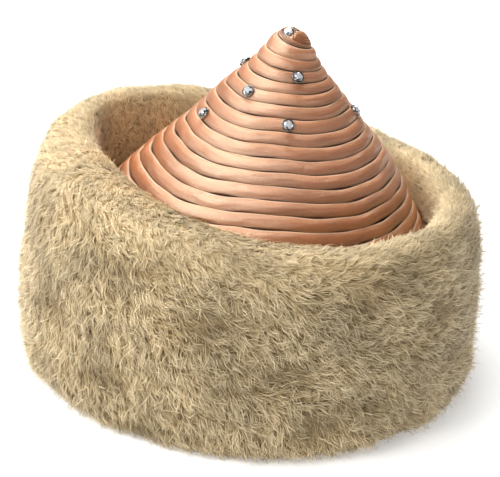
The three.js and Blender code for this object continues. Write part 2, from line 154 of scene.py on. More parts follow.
def wrap_grid(name, points, lengths=None):
    """A mesh grid laid over rows of points, with the edges that meet merged. Its UV map runs
    along the first rows by their lengths and across the others from 0 to 1."""
    across, along = points.shape[:2]
    lengths = np.linspace(0, 1, across) if lengths is None else lengths
    form = bmesh.new()
    bmesh.ops.create_grid(form, x_segments=across - 1, y_segments=along - 1, size=0.5)
    cloth_map = form.loops.layers.uv.new("cloth")
    for vertex in form.verts:
        i = round((vertex.co.x + 0.5) * (across - 1))
        j = round((vertex.co.y + 0.5) * (along - 1))
        vertex.co = points[i, j]
        for corner in vertex.link_loops:
            corner[cloth_map].uv = (lengths[i], j / (along - 1))
    bmesh.ops.remove_doubles(form, verts=form.verts, dist=MERGE_DISTANCE)
    bmesh.ops.recalc_face_normals(form, faces=form.faces)
    for face in form.faces:
        face.smooth = True
    mesh = bpy.data.meshes.new(name)
    form.to_mesh(mesh)
    form.free()
    piece = bpy.data.objects.new(name, mesh)
    bpy.context.scene.collection.objects.link(piece)
    return piece


# The surface of the fur cloth as a fine sheet of points: round the cuff, and by the distance up
# its section from the resting face, over the lip and down its inner side.
SHEET_ANGLES = 720
SHEET_STEP = 0.5 * MM
SHEET_REACH = 196 * MM
SECTION_SAMPLES = 400
sheet_angle = -np.pi + 2 * np.pi * np.arange(SHEET_ANGLES) / SHEET_ANGLES
rim_here = smooth_rows(RIM, (sheet_angle + np.pi) / (2 * np.pi) * len(RIM), True)
lip_inward = OUTSIDE[-1, 0] + (rim_here[:, 1:] - OUTSIDE[-1, 0]) * LIP[None, :, 0]
row_inward = np.concatenate([
    np.broadcast_to(OUTSIDE[:, 0], (SHEET_ANGLES, len(OUTSIDE))), lip_inward, lip_inward[:, -1:],
], 1)
row_height = np.concatenate([
    rim_here[:, :1] * RIM_HEIGHT * np.concatenate([OUTSIDE[:, 1], LIP[:, 1]])[None],
    np.full((SHEET_ANGLES, 1), TROUGH_HEIGHT),
], 1)
fine = np.linspace(0, row_inward.shape[1] - 1, SECTION_SAMPLES)
sheet = np.zeros((SHEET_ANGLES, round(SHEET_REACH / SHEET_STEP) + 1, 3))
sheet_distance = np.arange(sheet.shape[1]) * SHEET_STEP
section_length = np.zeros(SHEET_ANGLES)
for i, angle in enumerate(sheet_angle):
    row = np.stack([row_inward[i], row_height[i]], 1)
    inward, height = smooth_rows(row, fine, False).T
    line = cuff_place(np.full(len(fine), angle), inward, height)
    travelled = np.concatenate([[0], np.cumsum(np.linalg.norm(np.diff(line, axis=0), axis=1))])
    section_length[i] = travelled[-1]
    for axis in range(3):
        sheet[i, :, axis] = np.interp(sheet_distance, travelled, line[:, axis])


def sheet_normals(points):
    """Outward directions of the sheet of points."""
    around = np.roll(points, -1, 0) - np.roll(points, 1, 0)
    up = np.gradient(points, axis=1)
    up[np.linalg.norm(up, axis=2) < TINY] = (0, 0, -1)
    out = np.cross(around, up)
    return out / np.maximum(np.linalg.norm(out, axis=2, keepdims=True), TINY)


def from_sheet(values, angle, distance):
    """Values of the sheet at any angle and distance, mixed from the four points around."""
    u = (angle + np.pi) / (2 * np.pi) * SHEET_ANGLES
    v = np.clip(distance / SHEET_STEP, 0, values.shape[1] - 1.001)
    i, j = np.floor(u).astype(int), np.floor(v).astype(int)
    u, v = (u - i)[..., None], (v - j)[..., None]
    near, far = i % SHEET_ANGLES, (i + 1) % SHEET_ANGLES
    low = values[near, j] * (1 - u) + values[far, j] * u
    high = values[near, j + 1] * (1 - u) + values[far, j + 1] * u
    return low * (1 - v) + high * v


# The lay of the fur in degrees, 0 to the right and -90 down as seen from outside, a row for each
# 24 degrees from the left: at the hem, half way up, and at the rim.
FUR_LAY = np.array([
    [-112, -118, -100], [-100, -104, -86], [-76, -60, -56], [-56, -42, -36], [-62, -36, -26],
    [-66, -26, -12], [-44, -14, 4], [-44, 10, 24], [-62, -60, -10], [-80, -74, -46],
    [-66, -58, -40], [-50, -46, -30], [-58, -62, -44], [-80, -84, -66], [-100, -106, -88],
])
LAY_HEIGHTS = np.array([0, 0.5, 1]) * RIM_HEIGHT


def fur_lay(angle, distance):
    """The direction in which the fur lies, in radians."""
    lay = smooth_rows(FUR_LAY.astype(float), (angle + np.pi) / (2 * np.pi) * len(FUR_LAY), True)
    up = np.clip(distance, LAY_HEIGHTS[0], LAY_HEIGHTS[-1])
    low = np.clip(up / LAY_HEIGHTS[1], 0, 1)
    high = np.clip((up - LAY_HEIGHTS[1]) / (LAY_HEIGHTS[2] - LAY_HEIGHTS[1]), 0, 1)
    degrees = lay[..., 0] * (1 - low) + lay[..., 1] * (low - high) + lay[..., 2] * high
    return np.radians(degrees)


# Broad locks stand a little proud of the cloth, in four rows, each along the lay of its place.
LOCK_LENGTH = 44 * MM
LOCK_WIDTH = 25 * MM
LOCK_LIFT = 2 * MM
LOCK_ROWS = 4
LOCKS_IN_ROW = 15
LOCK_FADE = 12 * MM
PILE_DEPTH = 2.4 * MM
lock_along = np.array([-0.5, -0.2, 0.2, 0.5])
lock_width = np.array([0.3, 0.9, 1, 0.35])
lock_lift = np.array([0, 0.5, 1, 0.45])
mean_radius = np.linalg.norm(sheet[..., :2], axis=2).mean(0)
lift = np.zeros(sheet.shape[:2])
for row in range(LOCK_ROWS):
    for i in range(LOCKS_IN_ROW):
        share = row / (LOCK_ROWS - 1)
        middle = 0.6 * LOCK_LENGTH * (1 - share) + (RIM_HEIGHT + LOCK_LENGTH / 8) * share
        middle += LOCK_LENGTH / 8 * math.sin(5 * i + row)
        jog = 0.25 * math.sin(7 * i + 3 * row)
        at = -np.pi + 2 * np.pi * (i + 0.5 * (row % 2) + jog) / LOCKS_IN_ROW
        lay = fur_lay(np.array(at), np.array(middle))
        turned = (sheet_angle - at + np.pi) % (2 * np.pi) - np.pi
        around = turned[:, None] * mean_radius[None]
        up = (sheet_distance - middle)[None]
        ahead = (around * math.cos(lay) + up * math.sin(lay)) / LOCK_LENGTH
        aside = np.abs(up * math.cos(lay) - around * math.sin(lay)) * 2 / LOCK_WIDTH
        width = np.interp(ahead, lock_along, lock_width, 0.01, 0.01)
        height = np.interp(ahead, lock_along, lock_lift, 0, 0)
        lift = np.maximum(lift, height * np.clip(1 - aside / width, 0, 1) ** 0.8)
lift = (lift + np.roll(lift, 3, 0) + np.roll(lift, -3, 0)) / 3
lift[:, 3:-3] = (lift[:, 3:-3] + lift[:, :-6] + lift[:, 6:]) / 3
lift *= LOCK_LIFT * np.clip(sheet_distance / LOCK_FADE, 0, 1)[None]
sheet = sheet + sheet_normals(sheet) * (lift - PILE_DEPTH)[..., None]
sheet[..., 2] = np.maximum(sheet[..., 2], 0)

# The crown's meridian: radius of its seam and height, every second turn from the tip, as shares.
CROWN_HEIGHT = 183 * MM
COIL_BULGE = 2.4 * MM
CROWN_MARGIN = 9.8 * MM
OVAL_MARGIN = 1.2 * CROWN_MARGIN
CROWN_SHIFT = (11 * MM, -2 * MM)
OVAL_HEIGHT = 92 * MM
TURNS = 20
FOOT_RADIUS = HEAD_WIDTH / 2 + CROWN_MARGIN
FOOT_STRETCH = (HEAD_LENGTH / 2 + OVAL_MARGIN) / FOOT_RADIUS
CROWN_RISE = CROWN_HEIGHT - COIL_BULGE - SEAT_HEIGHT
MERIDIAN = np.array([
    [0, 1], [0.1, 0.905], [0.204, 0.82], [0.314, 0.74], [0.418, 0.649], [0.524, 0.557],
    [0.64, 0.465], [0.746, 0.37], [0.845, 0.269], [0.932, 0.162], [1, 0.054],
]) * (FOOT_RADIUS, CROWN_RISE) + (0, SEAT_HEIGHT)
# How much of the shift to the right the crown has at even steps from its foot up to its tip.
LEAN = np.array([[0], [0.24], [0.66], [0.77], [1]])
TIP_SWELL = 3 * MM
SWELL_RISE = 0.7
SEAM_STEP = 0.05
SEAM_SAMPLES = 200


def crown_seam(turns):
    """Radius and height of the seam line after some turns; the first ones swell into a bulb."""
    turns = np.asarray(turns, float)
    line = smooth_rows(MERIDIAN, turns / TURNS * (len(MERIDIAN) - 1), False)
    swell = TIP_SWELL * turns * np.exp(1 - turns)
    return line + np.stack([swell, SWELL_RISE * swell], -1)


def crown_lowness(height):
    """0 where the crown is a round cone, 1 at its foot, where it is the head's oval."""
    low = np.clip((OVAL_HEIGHT - height) / (OVAL_HEIGHT - SEAT_HEIGHT), 0, 1)
    return low * low * (3 - 2 * low)


def crown_axis(height):
    """Where the middle of the crown is at a height: it leans to the right and a little forward."""
    risen = np.clip((height - SEAT_HEIGHT) / CROWN_RISE, 0, 1)
    lean = smooth_rows(LEAN, risen * (len(LEAN) - 1), False)[..., 0]
    return CROWN_SHIFT[0] * lean, CROWN_SHIFT[1] * (1 - crown_lowness(height))


def crown_place(angle, turns, rise):
    """A point over the crown's seam line, by its angle, how many turns down and its lift."""
    here = crown_seam(turns)
    ahead = crown_seam(np.minimum(turns + SEAM_STEP, TURNS)) - crown_seam(np.maximum(turns - SEAM_STEP, 0))
    ahead = ahead / np.linalg.norm(ahead, axis=-1, keepdims=True)
    radius = np.maximum(here[..., 0] - ahead[..., 1] * rise, 0)
    height = here[..., 1] + ahead[..., 0] * rise
    stretch = 1 + (FOOT_STRETCH - 1) * crown_lowness(height)
    middle_x, middle_y = crown_axis(height)
    x = middle_x + radius * np.cos(angle)
    y = middle_y + radius * stretch * np.sin(angle)
    return np.stack([x, y, height], -1)


def clear_of_crown(points, gap):
    """Moves points of the fur that would be inside the crown out to its surface."""
    outer = crown_seam(np.linspace(0, TURNS, SEAM_SAMPLES))
    height = points[..., 2]
    reach = np.interp(height, outer[::-1, 1], outer[::-1, 0]) + gap
    reach = np.where(height > CROWN_HEIGHT, 0, reach)
    stretch = 1 + (FOOT_STRETCH - 1) * crown_lowness(height)
    middle_x, middle_y = crown_axis(height)
    dx = points[..., 0] - middle_x
    dy = (points[..., 1] - middle_y) / stretch
    away = np.maximum(np.hypot(dx, dy), TINY)
    out = np.where(height > SEAT_HEIGHT, np.maximum(reach / away, 1), 1)
    moved = points.copy()
    moved[..., 0] += dx * (out - 1)
    moved[..., 1] += dy * stretch * (out - 1)
    return moved


# The closed section of the body: outside and lip, gap floor, crown seat, bore and resting face.
BODY_ANGLES = 241
BODY_ROWS = 96
body_angle = np.linspace(-np.pi, np.pi, BODY_ANGLES)
body_length = np.interp(body_angle, sheet_angle, section_length, period=2 * np.pi)
body_rows = [
    from_sheet(sheet, body_angle, body_length * j / (BODY_ROWS - 1)) for j in range(BODY_ROWS)
]


def oval_row(margin, height):
    """A row of points round the head opening."""
    x = (HEAD_WIDTH / 2 + margin) * np.cos(body_angle)
    y = (HEAD_LENGTH / 2 + margin) * np.sin(body_angle)
    return np.stack([x, y, np.full(BODY_ANGLES, height)], -1)


SEAT_GAP = 0.4 * MM
CLOTH_CLEARANCE = 0.6 * MM
seat_margin = CROWN_MARGIN + COIL_BULGE + SEAT_GAP
inner_rows = [oval_row(seat_margin + 1 * MM, TROUGH_HEIGHT - 1 * MM), oval_row(seat_margin, SEAT_HEIGHT)]
inner_rows += [oval_row(SEAT_GAP, SEAT_HEIGHT - SEAT_GAP), oval_row(0, SEAT_HEIGHT - 2 * MM)]
inner_rows += [oval_row(0, SEAT_HEIGHT * share) for share in (0.7, 0.4, 0.15)]
inner_rows += [oval_row(1.5 * MM, 0), oval_row(12 * MM, 0), body_rows[0]]
body_rows = [clear_of_crown(row, COIL_BULGE + CLOTH_CLEARANCE) for row in body_rows]
fur_body = wrap_grid("fur_cuff_body", np.stack(body_rows + inner_rows, 1))
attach(fur_body, "root")
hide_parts("fur_cuff")


def noise_in_place(tree, scale, detail):
    """Noise over the piece's own coordinates."""
    coordinates = tree.nodes.new("ShaderNodeTexCoord")
    noise = tree.nodes.new("ShaderNodeTexNoise")
    noise.inputs["Scale"].default_value = scale
    noise.inputs["Detail"].default_value = detail
    tree.links.new(coordinates.outputs["Object"], noise.inputs["Vector"])
    return noise.outputs["Fac"]


def colour_ramp(tree, value, stops):
    """Colours along a socket's values, from stops of position and colour in rising order."""
    ramp = tree.nodes.new("ShaderNodeValToRGB")
    elements = ramp.color_ramp.elements
    for stop, (position, colour) in enumerate(stops):
        element = elements[stop] if stop < 2 else elements.new(position)
        element.position = position
        element.color = (*colour, 1)
    tree.links.new(value, ramp.inputs["Fac"])
    return ramp.outputs["Color"]


def speckle(tree, surface, scale, detail, stops):
    """The base colour is noise, in colours from stops of position and colour."""
    noise = noise_in_place(tree, scale, detail)
    tree.links.new(colour_ramp(tree, noise, stops), surface.inputs["Base Color"])
    return noise


def relief(tree, surface, height, strength, distance):
    """A bump from a height socket."""
    bump = tree.nodes.new("ShaderNodeBump")
    bump.inputs["Strength"].default_value = strength
    bump.inputs["Distance"].default_value = distance
    tree.links.new(height, bump.inputs["Height"])
    tree.links.new(bump.outputs["Normal"], surface.inputs["Normal"])


fur_cloth, tree, surface = finish_material("fur_cloth")
cloth_knots = speckle(tree, surface, 260, 5, [(0.35, (0.42, 0.295, 0.15)), (0.7, (0.66, 0.50, 0.285))])
relief(tree, surface, cloth_knots, 0.7, 1 * MM)
surface.inputs["Roughness"].default_value = 0.95
fur_body.data.materials.append(fur_cloth)

# The pile: fine tapered hairs that grow out of the cuff's cloth in small tufts, brown at the root
# and cream at the tip; the brown root is partly the fur's colour and partly painted shade deep in
# the pile. They lie along the lay, curl a little, close up towards each tuft's tip and lift off the cloth.
TUFT_SPACING = 3.2 * MM
HAIRS_IN_TUFT = 20
HAIR_LENGTH = 10 * MM
HAIR_WIDTH = 0.29 * MM
HAIR_LIFT = 2.9 * MM
CUFF_RADIUS = 124 * MM
BARE_EDGE = 3 * MM
HEM_HEIGHT = 16 * MM
LOWEST_HAIR = 0.3 * MM
PILE_CLEARANCE = 0.5 * MM
BROWN_AND_SHADE_ANGLE = math.radians(-72)
BROWN_AND_SHADE_SPREAD = 0.9
TUFT_SCATTER = 0.25
TUFT_CURL = 0.6
HAIR_SCATTER = 0.14
HAIR_CURL = 0.22
STRAY_SHARE = 0.11
STRAY_SCATTER = 0.5
# Along a hair from root to tip: the share of its length, its rise and its width.
hair_stations = np.array([0, 0.5, 1])
hair_rise = np.array([-0.25, 0.9, 1.1])
hair_widths = np.array([0.9, 1, 0])
normals = sheet_normals(sheet)
# Where the pile is thin and parted it is lower and browner: soft hollows of a few centimetres. The
# browner colour is partly the undercoat and partly painted shade in the hollows.
around_sheet, up_sheet = np.meshgrid(sheet_angle, sheet_distance, indexing="ij")
waves = [
    np.sin(7 * around_sheet + 83 * up_sheet + 1), np.sin(11 * around_sheet - 132 * up_sheet),
    np.sin(17 * around_sheet + 47 * up_sheet + 4), np.sin(5 * around_sheet - 210 * up_sheet + 2),
]
hollows = np.clip(sum(waves) / 3 - 0.05, 0, 1)


def hair_ribbons(name, points, outwards, twist, half_width):
    """A piece of flat tapered ribbons along rows of points, each with a quad and a triangle."""
    ahead = np.gradient(points, axis=1)
    ahead /= np.maximum(np.linalg.norm(ahead, axis=2, keepdims=True), TINY)
    side = np.cross(ahead, outwards)
    side /= np.maximum(np.linalg.norm(side, axis=2, keepdims=True), TINY)
    side = side * np.cos(twist) + outwards * np.sin(twist)
    half = half_width * hair_widths[None, :, None]
    left, right = points - side * half, points + side * half
    vertices = np.stack([left[:, 0], right[:, 0], left[:, 1], right[:, 1], points[:, 2]], 1)
    hairs = len(points)
    corners = (np.array([0, 1, 3, 2, 2, 3, 4])[None] + 5 * np.arange(hairs)[:, None]).ravel()
    starts = (np.array([0, 4])[None] + 7 * np.arange(hairs)[:, None]).ravel()
    mesh = bpy.data.meshes.new(name)
    mesh.vertices.add(5 * hairs)
    mesh.vertices.foreach_set("co", vertices.astype(np.float32).ravel())
    mesh.loops.add(len(corners))
    mesh.loops.foreach_set("vertex_index", corners.astype(np.int32))
    mesh.polygons.add(2 * hairs)
    mesh.polygons.foreach_set("loop_start", starts.astype(np.int32))
    mesh.update(calc_edges=True)
    mesh.shade_smooth()
    # The normals lean towards the cloth's, so that the pile is lit as one soft surface.
    facing = np.cross(side, ahead)
    facing /= np.maximum(np.linalg.norm(facing, axis=2, keepdims=True), TINY)
    soft = 0.65 * outwards + 0.35 * facing
    soft /= np.linalg.norm(soft, axis=2, keepdims=True)
    mesh.normals_split_custom_set_from_vertices(soft[:, [0, 0, 1, 1, 2]].reshape(-1, 3))
    piece = bpy.data.objects.new(name, mesh)
    bpy.context.scene.collection.objects.link(piece)
    return piece


def fur_pile(name, first, last, seed):
    """The hairs between two angles as one mesh of tapered ribbons, with their colours and painted light and
    shade.
    """
    rng = np.random.default_rng(seed)
    columns = int((last - first) * CUFF_RADIUS / TUFT_SPACING)
    rows = int(SHEET_REACH / TUFT_SPACING)
    u, v = np.meshgrid(np.arange(columns), np.arange(rows), indexing="ij")
    u, v = u.ravel() + rng.random(u.size), v.ravel() + rng.random(u.size)
    angle = first + (last - first) * u / columns
    distance = v * TUFT_SPACING
    length = np.interp(angle, sheet_angle, section_length, period=2 * np.pi)
    kept = distance < length - BARE_EDGE
    angle, distance = angle[kept], distance[kept]
    tufts = len(angle)
    swirl = 0.30 * np.sin(6 * angle + distance * 71) + 0.28 * np.sin(5 * angle - distance * 119 + 2)
    lay = fur_lay(angle, distance) + 0.55 * swirl + rng.normal(0, TUFT_SCATTER, tufts)
    curl = rng.normal(0, TUFT_CURL, tufts)
    hollow = from_sheet(hollows[..., None], angle, distance)[:, 0]
    # The rim and the inner wall are shorter and paler, and so is the hem. The paler rim and hem are
    # partly the fur's colour and partly painted light; the inner wall is paler still as painted light
    # where it lies in shade. The front is browner, partly the fur's colour and partly painted shade.
    shorn = np.clip(distance / (0.22 * RIM_HEIGHT) - 3.6, 0, 1)
    hem = np.exp(-((distance / HEM_HEIGHT) ** 2))
    turned = (angle - BROWN_AND_SHADE_ANGLE + np.pi) % (2 * np.pi) - np.pi
    half_way = (distance - 0.55 * RIM_HEIGHT) / (0.3 * RIM_HEIGHT)
    front = np.exp(-((turned / BROWN_AND_SHADE_SPREAD) ** 2) - half_way ** 2)
    tuft_shade_and_tone = rng.normal(0.6, 0.17, tufts) - 0.5 * hollow * (1 - shorn) - 0.3 * front
    inner = np.clip(4 * (distance / RIM_HEIGHT - 1.05), 0, 1)
    tuft_shade_and_tone = np.clip(tuft_shade_and_tone + 0.45 * shorn + 0.35 * hem + 1.1 * inner, 0, 2)
    tuft_lift = (rng.uniform(0.7, 1.25, tufts) - 0.45 * hollow * (1 - shorn)) * (1 - 0.4 * shorn)
    tuft_reach = rng.uniform(0.8, 1.15, tufts) * (1 - 0.45 * shorn) * (1 - 0.3 * hem)

    def each(values):
        """A tuft's values, repeated for each of its hairs."""
        return np.repeat(values, HAIRS_IN_TUFT)

    hairs = tufts * HAIRS_IN_TUFT
    shorn = each(shorn)
    stray = rng.random(hairs) < STRAY_SHARE * (1 - 0.8 * shorn)
    lay = each(lay) + rng.normal(0, HAIR_SCATTER, hairs) + stray * rng.normal(0, STRAY_SCATTER, hairs)
    curl = each(curl) + rng.normal(0, HAIR_CURL, hairs)
    reach = HAIR_LENGTH * each(tuft_reach) * rng.uniform(0.7, 1.12, hairs)
    high = HAIR_LIFT * each(tuft_lift) * rng.uniform(0.4, 1.25, hairs) * (1 + 0.9 * stray)
    hair_shade_and_tone = np.clip(0.55 * each(tuft_shade_and_tone) + 0.45 * rng.random(hairs), 0, 1.6)
    root = rng.normal(0, 0.5 * TUFT_SPACING, (hairs, 2))
    angle, distance = each(angle), each(distance)
    shift = np.zeros((hairs, 2))
    points, outwards, depths = [], [], []
    previous = 0
    for station, rise in zip(hair_stations, hair_rise):
        heading = lay + curl * (station - 0.3)
        step = reach * (station - previous)
        shift = shift + np.stack([np.cos(heading), np.sin(heading)], 1) * step[:, None]
        previous = station
        # How far out of the pile each point is, which the colour ramp turns into painted shade deep in the
        # pile; the shorn rim and inner wall are kept paler.
        depth = 0.4 * station + 0.6 * rise * high / (1.25 * HAIR_LIFT)
        depths.append(depth + 0.75 * shorn * (1 - depth))
        around, up = (shift + root * (1 - 0.75 * station)).T
        here = distance + up
        radius = np.interp(here, sheet_distance, mean_radius)
        at = angle + around / radius
        low = np.maximum(here, 0)
        place = from_sheet(sheet, at, low)
        out = from_sheet(normals, at, low)
        place = place + out * (rise * high)[:, None]
        place[:, 2] += np.minimum(here, 0)
        points.append(place)
        outwards.append(out)
    points = np.stack(points, 1)
    points[..., 2] = np.maximum(points[..., 2], LOWEST_HAIR)
    points = clear_of_crown(points, COIL_BULGE + PILE_CLEARANCE)
    outwards = np.stack(outwards, 1)
    twist = rng.uniform(-0.3, 0.3, hairs)[:, None, None]
    half_width = 0.5 * HAIR_WIDTH * rng.uniform(0.75, 1.2, hairs)[:, None, None]
    piece = hair_ribbons(name, points, outwards, twist, half_width)
    for attribute, values in (
        ("out_of_pile", np.stack(depths, 1)[:, [0, 0, 1, 1, 2]].ravel()),
        ("pile_shade_and_tone", np.repeat(hair_shade_and_tone, 5)),
    ):
        layer = piece.data.attributes.new(attribute, "FLOAT", "POINT")
        layer.data.foreach_set("value", values.astype(np.float32))
    return piece


def map_range(tree, value, source, target, clamp=True):
    """A socket's values, brought from one range into another."""
    node = tree.nodes.new("ShaderNodeMapRange")
    node.clamp = clamp
    for socket, number in zip(("From Min", "From Max", "To Min", "To Max"), (*source, *target)):
        node.inputs[socket].default_value = number
    tree.links.new(value, node.inputs["Value"])
    return node.outputs["Result"]


def shaded_colour(tree, surface, colour, shade):
    """The base colour is a colour socket, scaled by a shade."""
    node = tree.nodes.new("ShaderNodeVectorMath")
    node.operation = "SCALE"
    tree.links.new(colour, node.inputs[0])
    tree.links.new(shade, node.inputs["Scale"])
    tree.links.new(node.outputs["Vector"], surface.inputs["Base Color"])


def blend_nodes(tree, operation, first, second):
    """A Math node on two sockets or numbers."""
    node = tree.nodes.new("ShaderNodeMath")
    node.operation = operation
    for socket, value in zip(node.inputs, (first, second)):
        if isinstance(value, (int, float)):
            socket.default_value = value
        else:
            tree.links.new(value, socket)
    return node.outputs["Value"]


fur_pile_finish, tree, surface = finish_material("fur_pile")
along_hair = tree.nodes.new("ShaderNodeAttribute")
along_hair.attribute_name = "out_of_pile"
shade_and_tone_of_hair = tree.nodes.new("ShaderNodeAttribute")
shade_and_tone_of_hair.attribute_name = "pile_shade_and_tone"
# Brown at the root to cream at the tip: the dark root is partly the fur's colour and partly painted shade
# deep in the pile.
pile_shade_and_hair_stops = [(0, (0.24, 0.15, 0.065)), (0.5, (0.58, 0.42, 0.205)), (1, (0.96, 0.79, 0.50))]
pile_shade_and_hair_colours = colour_ramp(tree, along_hair.outputs["Fac"], pile_shade_and_hair_stops)
patch_depth = map_range(tree, noise_in_place(tree, 38, 3), (0.35, 0.65), (0.72, 1))
# The colour scale from each hair's value carries painted light and shade as well as the hair's own colour.
shade_and_tone_scale = map_range(tree, shade_and_tone_of_hair.outputs["Fac"], (0, 1), (0.5, 1.1), clamp=False)
shade = blend_nodes(tree, "MULTIPLY", patch_depth, shade_and_tone_scale)
shaded_colour(tree, surface, pile_shade_and_hair_colours, shade)
surface.inputs["Roughness"].default_value = 0.62
surface.inputs["Specular IOR Level"].default_value = 0.25
surface.inputs["Sheen Weight"].default_value = 0.6
surface.inputs["Sheen Roughness"].default_value = 0.4
surface.inputs["Sheen Tint"].default_value = (1, 0.93, 0.78, 1)

# The pile is in four parts with about as many hairs each, between these angles in degrees.
PILE_PARTS = ("back_left", "front_left", "front_right", "back_right")
pile_edges = np.radians([90, 174, 254, 348, 450])
for part, (side, first, last) in enumerate(zip(PILE_PARTS, pile_edges, pile_edges[1:]), 1):
    pile = fur_pile(f"fur_pile_{side}", first, last, part)
    pile.data.materials.append(fur_pile_finish)
    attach(pile, "root")

# The crown's cord: one soft padded cord of peach satin, wound round and round from the tip down
# and sewn to itself. Each coil is flattened and its lower edge laps over the next one.
FRONT = -np.pi / 2
COIL_COUNT = 19.3
CORD_STATIONS = 3200
CORD_START = -0.95
# Across the cord: how far down from its upper seam in coils, and its lift over the seam line in mm.
CORD_SECTION = np.array([
    [-0.03, -1.4], [-0.01, -0.6], [0, 0.2], [0.02, 0.9], [0.06, 1.5], [0.15, 2], [0.3, 2.35],
    [0.5, 2.45], [0.7, 2.35], [0.86, 2.05], [0.97, 1.5], [1.005, 0.85], [1, 0.1], [0.95, -0.8],
    [0.8, -1.6], [0.45, -1.9], [0.12, -1.8],
])
CORD_SIDES = 22
# The cord wound after some turns is about this many metres, times the square of the turns.
WOUND_GROWTH = 0.0142
TIP_SLUMP = 0.28
SLUMP_TURNS = 5.5
WANDER = 0.13
WANDER_ANGLE = math.radians(265)


def winding_drift(angle, turns):
    """The winding is by hand: the tip's coils slump to the right and the lower ones wander."""
    tip = np.maximum(1 - turns / SLUMP_TURNS, 0) * np.minimum(turns, 1)
    lower = np.clip((turns - 4) / 8, 0, 1)
    return TIP_SLUMP * tip * (1 + np.cos(angle)) + WANDER * lower * np.cos(5 * angle + WANDER_ANGLE)


station = np.linspace(CORD_START, COIL_COUNT, CORD_STATIONS)[:, None]
section = smooth_rows(CORD_SECTION, np.linspace(0, len(CORD_SECTION), CORD_SIDES + 1), True)
down = section[None, :, 0]
# The stuffing is uneven, so the cord wavers and swells a little along its length.
along = WOUND_GROWTH * station ** 2
wobble = 0.045 * np.sin(along * 146) * np.sin(along * 61 + 1) + 0.022 * np.sin(along * 293 + 2)
cord_angle = FRONT + 2 * np.pi * station + np.zeros_like(down)
cord_turns = station + down
full = np.clip(station, 0, 1)
rise = section[None, :, 1] * MM * (0.75 + 0.25 * full) * (1 + 2 * wobble)
cord_turns = np.clip(cord_turns + winding_drift(cord_angle, cord_turns) + wobble, 0, TURNS)
cord_points = crown_place(cord_angle, cord_turns, rise)
cord_points[:, -1] = cord_points[:, 0]
# The tip's rhinestone sits in a round hollow that is pressed into the start of the winding.
TIP_TILT = math.radians(24)
TIP_OFFSET = 2.4 * MM
TIP_SINK = 2.7 * MM
TIP_HOLLOW = 3.9 * MM
HOLLOW_EDGE = 1 * MM
tip_axis = Vector((-math.sin(TIP_TILT) / 2, -math.sin(TIP_TILT), math.cos(TIP_TILT))).normalized()
tip_x, tip_y = CROWN_SHIFT[0] - TIP_OFFSET / 2, CROWN_SHIFT[1] - TIP_OFFSET
tip_base = Vector((tip_x, tip_y, CROWN_HEIGHT - TIP_SINK))
from_base = cord_points - np.array(tip_base)
over_base = from_base @ np.array(tip_axis)
from_axis = np.linalg.norm(from_base - over_base[..., None] * np.array(tip_axis), axis=-1)
pressed = np.clip((TIP_HOLLOW - from_axis) / HOLLOW_EDGE, 0, 1)
pressed = pressed * np.maximum(over_base + HOLLOW_EDGE / 2, 0)
cord_points = cord_points - pressed[..., None] * np.array(tip_axis)
cord_middle = cord_points[:, CORD_SIDES // 2]
cord_steps = np.linalg.norm(np.diff(cord_middle, axis=0), axis=1)
satin_cord = wrap_grid("satin_cord", cord_points, np.concatenate([[0], np.cumsum(cord_steps)]))
cord_ends = bmesh.new()
cord_ends.from_mesh(satin_cord.data)
bmesh.ops.holes_fill(cord_ends, edges=cord_ends.edges)
bmesh.ops.recalc_face_normals(cord_ends, faces=cord_ends.faces)
cord_ends.to_mesh(satin_cord.data)
cord_ends.free()
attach(satin_cord, "root")
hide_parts("satin_coil")

satin, tree, surface = finish_material("peach_satin")
cloth_place = tree.nodes.new("ShaderNodeUVMap")
cloth_place.uv_map = "cloth"


def streaks(scale_along, scale_across, detail, slant=0):
    """Noise stretched over the cloth map, by its scale along and across the cord, and slanted."""
    stretched = tree.nodes.new("ShaderNodeMapping")
    stretched.inputs["Scale"].default_value = (scale_along, scale_across, 1)
    stretched.inputs["Rotation"].default_value = (0, 0, slant)
    noise = tree.nodes.new("ShaderNodeTexNoise")
    noise.inputs["Scale"].default_value = 1
    noise.inputs["Detail"].default_value = detail
    tree.links.new(cloth_place.outputs["UV"], stretched.inputs["Vector"])
    tree.links.new(stretched.outputs["Vector"], noise.inputs["Vector"])
    return noise.outputs["Fac"]


across_cord = tree.nodes.new("ShaderNodeSeparateXYZ")
tree.links.new(cloth_place.outputs["UV"], across_cord.inputs["Vector"])
# Across the cord the colour is the satin's peach with painted light and shade: painted shade in
# both seams and down the lower part, and a painted highlight along its upper edge.
satin_and_painted_light_stops = [
    (0.17, (0.06, 0.014, 0.005)), (0.205, (0.48, 0.19, 0.09)), (0.235, (1.0, 0.76, 0.55)),
    (0.265, (0.95, 0.54, 0.33)), (0.31, (0.60, 0.225, 0.092)), (0.42, (0.43, 0.134, 0.049)),
    (0.57, (0.23, 0.060, 0.018)), (0.63, (0.05, 0.012, 0.005)),
]
satin_and_painted_light = colour_ramp(tree, across_cord.outputs["Y"], satin_and_painted_light_stops)
# Noise streaks along the cord paint a sheen into the colour, lighter and darker in turn.
fine_sheen_streaks = blend_nodes(tree, "MULTIPLY", streaks(900, 60, 2), 0.5)
broad_sheen_streaks = blend_nodes(tree, "MULTIPLY", streaks(36, 2.5, 4, 0.3), 0.5)
painted_sheen = map_range(tree, blend_nodes(tree, "ADD", fine_sheen_streaks, broad_sheen_streaks), (0.25, 0.75), (0.45, 1.55))
shaded_colour(tree, surface, satin_and_painted_light, painted_sheen)
